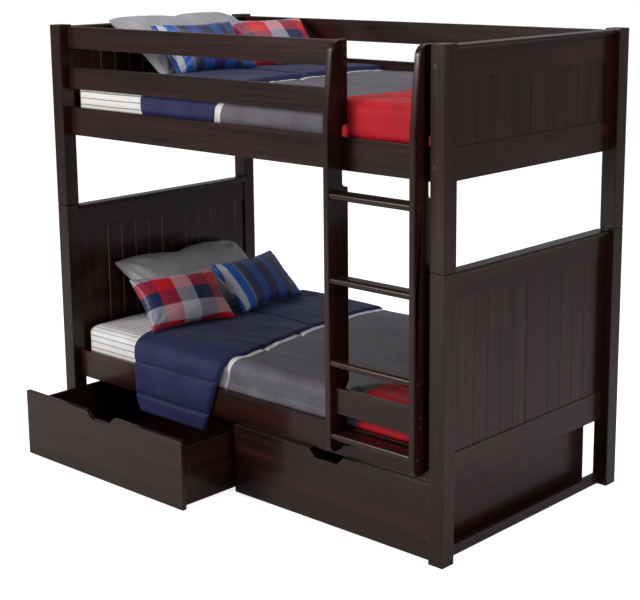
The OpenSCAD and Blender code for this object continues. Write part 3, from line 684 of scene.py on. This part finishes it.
def two_faced(name, path, top, cover_end, seams, red_x, thickness, ripple, limit=None):
    """The face of a comforter, which starts just under the turned-back layer with its piping tape."""
    def ends(s):
        return navy_edge(path, s, top) - tape_under, cover_end
    start = navy_edge(path, path.length / 2, top)
    wide = cover_end - start + tape_under
    bands = [(0, piping_tape), ((tape_under + tape_w) / wide, grey_cotton),
             ((red_x - start + tape_under) / wide, red_cotton)]
    return quilt(name, path, ends, thickness, seams, bands, ripple=ripple, limit=limit, thread=light_thread)


# The face's front edge is a rolled hem that lies on the rail
lower_side = lower_top - rail_high.z
tuck = 0.014
face_path = Path([(front_y, rail_high.z - tuck), (front_y, lower_top), (back_y, lower_top),
                  (back_y, lower_top - 0.035)], 0.03)


def face_loft(x, s):
    """Thin where it's tucked beside the mattress, then the rolled hem, a flat side and the full top."""
    hem_start, hem_end, rise = tuck + 0.003, tuck + 0.024, lower_side * 0.7
    if s < hem_start:
        return 0.0045
    if s < hem_end:
        return 0.0125
    return 0.009 if s < rise else 0.009 + 0.018 * min(1, (s - rise) / 0.06)


lower_seams = [tuck + 0.026, lower_side + 0.17, lower_side + 0.42, lower_side + 0.67]
two_faced("comforter_lower_face", face_path, lower_top, fold_high.x, lower_seams, 0.585,
          face_loft, pleats(0.04, lower_side * 1.25))

# The turned-back navy reverse, whose corner hangs over the rail. Its last panel is a piece of its own.
drop_path = Path([(hang_y, seam_z), (hang_y, lower_top - 0.012), (front_y + 0.03, lower_top + 0.012),
                  (back_y, lower_top + 0.012), (back_y, lower_top - 0.03)], 0.045)


def navy_ends(s):
    """The head edge wanders a little, and the foot edge is where the face begins."""
    head_edge = fold_low.x - 0.002 + 0.012 * math.sin(max(0, s - 0.12) * 5)
    return head_edge, navy_edge(drop_path, s, lower_top)


quilt("comforter_lower_turnback", drop_path, navy_ends,
      lambda x, s: 0.019 + 0.008 * min(1, s / 0.1), [0.62], [(0, navy_cotton)],
      rolls=(0.004, 0.02, 0.022, 0.016))

hem_z = 0.205
lap = 0.012
corner_path = Path([(hang_y, hem_z), (hang_y, seam_z + lap)], 0.01)


def corner_ends(s):
    """The hanging corner narrows to its hem, which is cut off square with round corners."""
    z = hem_z + s
    left = fold_low.x - 0.002 + 0.034 * max(0, (0.289 - z) / 0.085) ** 2
    right = -0.172 + 0.078 * (z - hem_z) / (seam_z - hem_z)
    return left, right


def corner_loft(x, s):
    """Full, but thin where it laps under the layer above."""
    return 0.019 - 0.009 * max(0, min(1, (s + hem_z - seam_z + 0.006) / lap))


corner = quilt("comforter_lower_corner", corner_path, corner_ends, corner_loft, [0.075],
               [(0, navy_cotton)], cell=0.006, rolls=(0.018, 0.003, 0.022, 0.018))
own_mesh(corner)
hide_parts("comforter_lower")

# The upper comforter is tucked in all along the front, clear of the ladder's stiles
cover_low, cover_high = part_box("comforter_upper")
sleep_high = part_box("mattress_upper")[1]
upper_rail_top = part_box("side_rail_upper_front")[1].z
stile_spans = [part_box("ladder_stile_" + end) for end in ("left", "right")]
upper_top = sleep_high.z + 0.001
upper_side = upper_top - upper_rail_top
tuck_y = mattress_low.y - 0.001
tuck_path = Path([(tuck_y, upper_rail_top - 0.02), (tuck_y, upper_top), (back_y, upper_top),
                  (back_y, upper_top - 0.04)], 0.03)
guard_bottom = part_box("guard_rails_front")[0].z
left_stile = stile_spans[0][1].x


def clear_of_wood(x, z):
    """The lowest Y that keeps the upper comforter off the stiles, the side rail and the guard rails."""
    if any(low.x - 0.02 < x < high.x + 0.02 for low, high in stile_spans):
        return mattress_low.y - 0.0025
    railed = z < upper_rail_top + 0.006 or (x < left_stile and z > guard_bottom - 0.006)
    return mattress_low.y - (0.0075 if railed else 0.019)


upper_seams = [upper_side + 0.19, upper_side + 0.44, upper_side + 0.69]
face = two_faced("comforter_upper_face", tuck_path, upper_top, cover_high.x, upper_seams, 0.5,
                 lambda x, s: 0.006 + 0.020 * min(1, s / 0.07), pleats(0.02, upper_side * 1.3, depth=0.0012),
                 limit=clear_of_wood)
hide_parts("comforter_upper")
turn_path = Path([(tuck_y - 0.0015, upper_rail_top - 0.02), (tuck_y - 0.0015, upper_top + 0.004),
                  (front_y + 0.03, upper_top + 0.016), (back_y, upper_top + 0.016),
                  (back_y, upper_top - 0.02)], 0.03)
quilt("comforter_upper_turnback", turn_path, lambda s: (cover_low.x, navy_edge(turn_path, s, upper_top)),
      lambda x, s: 0.005 + 0.024 * min(1, s / 0.07), [upper_side + 0.5], [(0, navy_cotton)],
      rolls=(0.004, 0.02, 0.01, 0.01), limit=lambda x, z: clear_of_wood(x, z) - 0.001)


# ---- Pillows and cushions ----
# Each is two panels of cotton sewn at their edges and stuffed: a grey sleeping pillow on each bunk, and
# in front of it a plaid and a striped cushion. Each shape is sewn by a formula and drawn part of the way
# towards a cloth simulation that blows the cover up.
def cover_shape(size, cell, seed, slump):
    """Both panels of a stuffed cover as (points, faces): crowned, with its edges drawn in between the
    corners, short gathers along the seams and creases that run out from the corners. slump is how far
    its upper corners sink."""
    length, height, thick = size
    columns, rows = round(length / cell), round(height / cell)
    corners = [Vector((sx * length / 2, sy * height / 2)) for sx in (-1, 1) for sy in (-1, 1)]
    points, faces = [], []
    for layer in (1, -1):
        for i in range(rows + 1):
            for j in range(columns + 1):
                a, b = 2 * j / columns - 1, 2 * i / rows - 1
                x, y = a * length / 2, b * height / 2
                from_side, from_top = length / 2 - abs(x), height / 2 - abs(y)
                swell = max(0.0, (1 - a * a) * (1 - b * b)) ** (0.40 if slump == 0 else 0.33)
                z = thick / 2 * swell * (1 + 0.07 * wave(x, y, seed + layer, 0.13))
                for near, along in ((from_side, y), (from_top, x)):
                    ruck = math.sin(2 * math.pi * along / 0.021 + 3 * wave(x, y, seed, 0.05))
                    z += 0.0024 * ruck * math.exp(-((near - 0.016) / 0.013) ** 2)
                for k, point in enumerate(corners):
                    away = Vector((x, y)) - point
                    fan = math.sin(math.atan2(abs(away.y), abs(away.x)) * 13 + seed + k)
                    spread = 0.055 + slump
                    fade = math.exp(-((away.length - spread) / (spread * 0.65)) ** 2)
                    z += (0.0042 + slump * 0.07) * fan * fade * min(1, swell * 2)
                drawn = 1 - 0.045 * (1 - b * b) * abs(a) ** 3, 1 - 0.06 * (1 - a * a) * abs(b) ** 3
                sink = slump * max(0, b) * (max(0, a) ** 4 + 0.35 * max(0, -a) ** 4)
                points.append((x * drawn[0], y * drawn[1] - sink, layer * max(z, 0)))
    width, count = columns + 1, (columns + 1) * (rows + 1)
    def place(layer, i, j):
        rim = i in (0, rows) or j in (0, columns)
        return i * width + j + (0 if rim or layer == 0 else count)
    for i in range(rows):
        for j in range(columns):
            for layer in (0, 1):
                ring = [place(layer, i + di, j + dj) for di, dj in ((0, 0), (0, 1), (1, 1), (1, 0))]
                faces.append(ring if layer == 0 else ring[::-1])
    used = sorted({v for f in faces for v in f})
    renumber = {v: k for k, v in enumerate(used)}
    return np.array([points[v] for v in used]), [[renumber[v] for v in f] for f in faces]


def blow_in(piece, flat, pressure):
    """Stuffs a flat cover by a cloth simulation under pressure, and gives where its points end up."""
    piece.data.vertices.foreach_set("co", flat.ravel())
    cloth = piece.modifiers.new("stuffing", "CLOTH")
    cloth.settings.use_pressure, cloth.settings.uniform_pressure_force = True, pressure
    cloth.settings.mass, cloth.settings.quality = 0.25, 5
    cloth.settings.tension_stiffness = cloth.settings.compression_stiffness = 18
    cloth.settings.bending_stiffness = 0.12
    cloth.settings.effector_weights.gravity = 0
    last_frame = 20
    cloth.point_cache.frame_start, cloth.point_cache.frame_end = 1, last_frame
    for step in range(1, last_frame + 1):
        scene.frame_set(step)
    shape = piece.evaluated_get(bpy.context.evaluated_depsgraph_get())
    blown = np.array([v.co for v in shape.data.vertices])
    piece.modifiers.clear()
    scene.frame_set(1)
    return blown


def stuffed(cad_node, kind, yaw, material, slot_name, seed):
    """A stuffed cover in the place of a plain CAD one, in its own frame: X along its length, Y up it and
    Z through it. It leans back and is turned by yaw. kind is its size (length, height, thickness), its
    lean, the cells of its mesh and how far its upper corners sink."""
    size, lean, cell, slump = kind
    pressure, simulated_share = 2.5, 0.35
    points, faces = cover_shape(size, cell, seed, slump)
    piece = new_mesh(cad_node + "_cover", points, faces)
    blown = blow_in(piece, points * (1, 1, 0.08), pressure)
    spread = blown.max(0) - blown.min(0)
    blown = (blown - (blown.max(0) + blown.min(0)) / 2) * (np.array(size) / spread)
    points = points + (blown - points) * simulated_share
    points = points * (np.array(size) / (points.max(0) - points.min(0)))
    piece.data.vertices.foreach_set("co", points.ravel())
    piece.data.update()
    smooth = piece.modifiers.new("smooth", "SUBSURF")
    smooth.levels = smooth.render_levels = 1
    low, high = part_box(cad_node)
    pose = Matrix.Rotation(yaw, 3, "Z") @ Matrix.Rotation(-lean, 3, "Y")
    foot = (low + high) / 2 - pose @ Vector((0, 0, size[1] / 2))
    upright = Matrix(((0, 0, 1, 0), (1, 0, 0, 0), (0, 1, 0, size[1] / 2), (0, 0, 0, 1)))
    piece.matrix_world = Matrix.Translation(foot) @ pose.to_4x4() @ upright
    piece.data.materials.append(material)
    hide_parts(cad_node)
    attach(piece, "frame")


def plaid_cotton():
    """Yarn-dyed plaid: navy, red and light grey yarns cross in squares, so each square mixes two yarns."""
    material, tree = new_material("yarn_dyed_plaid")
    coords = add(tree, "TexCoord").outputs["Object"]
    place = add(tree, "SeparateXYZ", Vector=coords)
    yarns = [linear("#1b2048"), linear("#bd101c"), linear("#aeadb8")]
    bands = []
    for axis, width_mm, first_mm in (("X", 79, -197), ("Y", 66, -41)):
        cycle = 3 * width_mm
        run = add(tree, "Math", operation="MULTIPLY_ADD", _0=place.outputs[axis], _1=1000 / cycle,
                  _2=1 - first_mm / cycle)
        turn = add(tree, "Math", operation="FRACT", _0=run)
        yarn = add(tree, "ValToRGB", Fac=turn, ramp=[(k / 3, colour) for k, colour in enumerate(yarns)])
        yarn.color_ramp.interpolation = "CONSTANT"
        bands.append(yarn)
    # a twill's slant, drawn coarser than the real one
    twill_mm = 3.5
    slant = add(tree, "TexWave", Vector=coords, bands_direction="DIAGONAL",
                Scale=1000 * math.pi / 10 / twill_mm, Distortion=0.4)
    lean = add(tree, "MapRange", _0=slant.outputs["Fac"], _1=0.2, _2=0.8, _3=0.40, _4=0.60)
    colour = add(tree, "MixRGB", Fac=lean.outputs[0], Color1=bands[0], Color2=bands[1])
    shader = add(tree, "BsdfPrincipled", Base_Color=colour, Roughness=0.42, Sheen_Weight=0.05,
                 Specular_IOR_Level=0.35,
                 Normal=weave(tree, coords, 4.0, 0.25, rumple(tree, coords, 38, 4)))
    add(tree, "OutputMaterial", Surface=shader)
    return material


def striped_cotton():
    """Printed satin with upright stripes of navy, light grey, blue and charcoal in uneven widths."""
    material, tree = new_material("striped_satin")
    coords = add(tree, "TexCoord").outputs["Object"]
    place = add(tree, "SeparateXYZ", Vector=coords)
    stripes_mm = [(18, "#1b3f8f"), (28, "#a9abb5"), (36, "#1250a4"), (12, "#60616a"), (14, "#34323e"),
                  (30, "#1a2450"), (46, "#163c7e"), (54, "#1e1b47"), (46, "#14407f"), (30, "#1a2350"),
                  (18, "#3f3c4a"), (34, "#16387a"), (29, "#1b2454")]
    total = sum(width for width, _ in stripes_mm)
    run = add(tree, "Math", operation="MULTIPLY_ADD", _0=place.outputs["X"], _1=1000 / total, _2=0.5)
    ramp, at = [], 0
    for width, colour in stripes_mm:
        ramp.append((at / total, linear(colour)))
        at += width
    colour = add(tree, "ValToRGB", Fac=run, ramp=ramp)
    colour.color_ramp.interpolation = "CONSTANT"
    shader = add(tree, "BsdfPrincipled", Base_Color=colour, Roughness=0.4, Sheen_Weight=0.05,
                 Specular_IOR_Level=0.35,
                 Normal=weave(tree, coords, 4.0, 0.2, rumple(tree, coords, 45, 4)))
    add(tree, "OutputMaterial", Surface=shader)
    return material


pillowcase = dyed_cotton("grey_pillowcase", "#9c9ba0", "#8e8d92", fold_mm=75)
plaid = plaid_cotton()
stripes = striped_cotton()
sleeping = ((0.69, 0.43, 0.135), math.radians(57), 0.011, 0.055)
small = ((0.395, 0.265, 0.105), math.radians(46), 0.008, 0.0)
stuffed_things = [
    ("pillow_lower", sleeping, 0, pillowcase, "pillow"),
    ("pillow_upper", sleeping, 0, pillowcase, "pillow"),
    ("cushion_plaid_lower", small, -12, plaid, "plaid"),
    ("cushion_stripe_lower", small, 4, stripes, "stripe"),
    ("cushion_plaid_upper", small, -10, plaid, "plaid"),
    ("cushion_stripe_upper", small, -8, stripes, "stripe"),
]
for k, (cad_node, kind, yaw, material, slot_name) in enumerate(stuffed_things):
    stuffed(cad_node, kind, math.radians(yaw), material, slot_name, seed=k * 7)
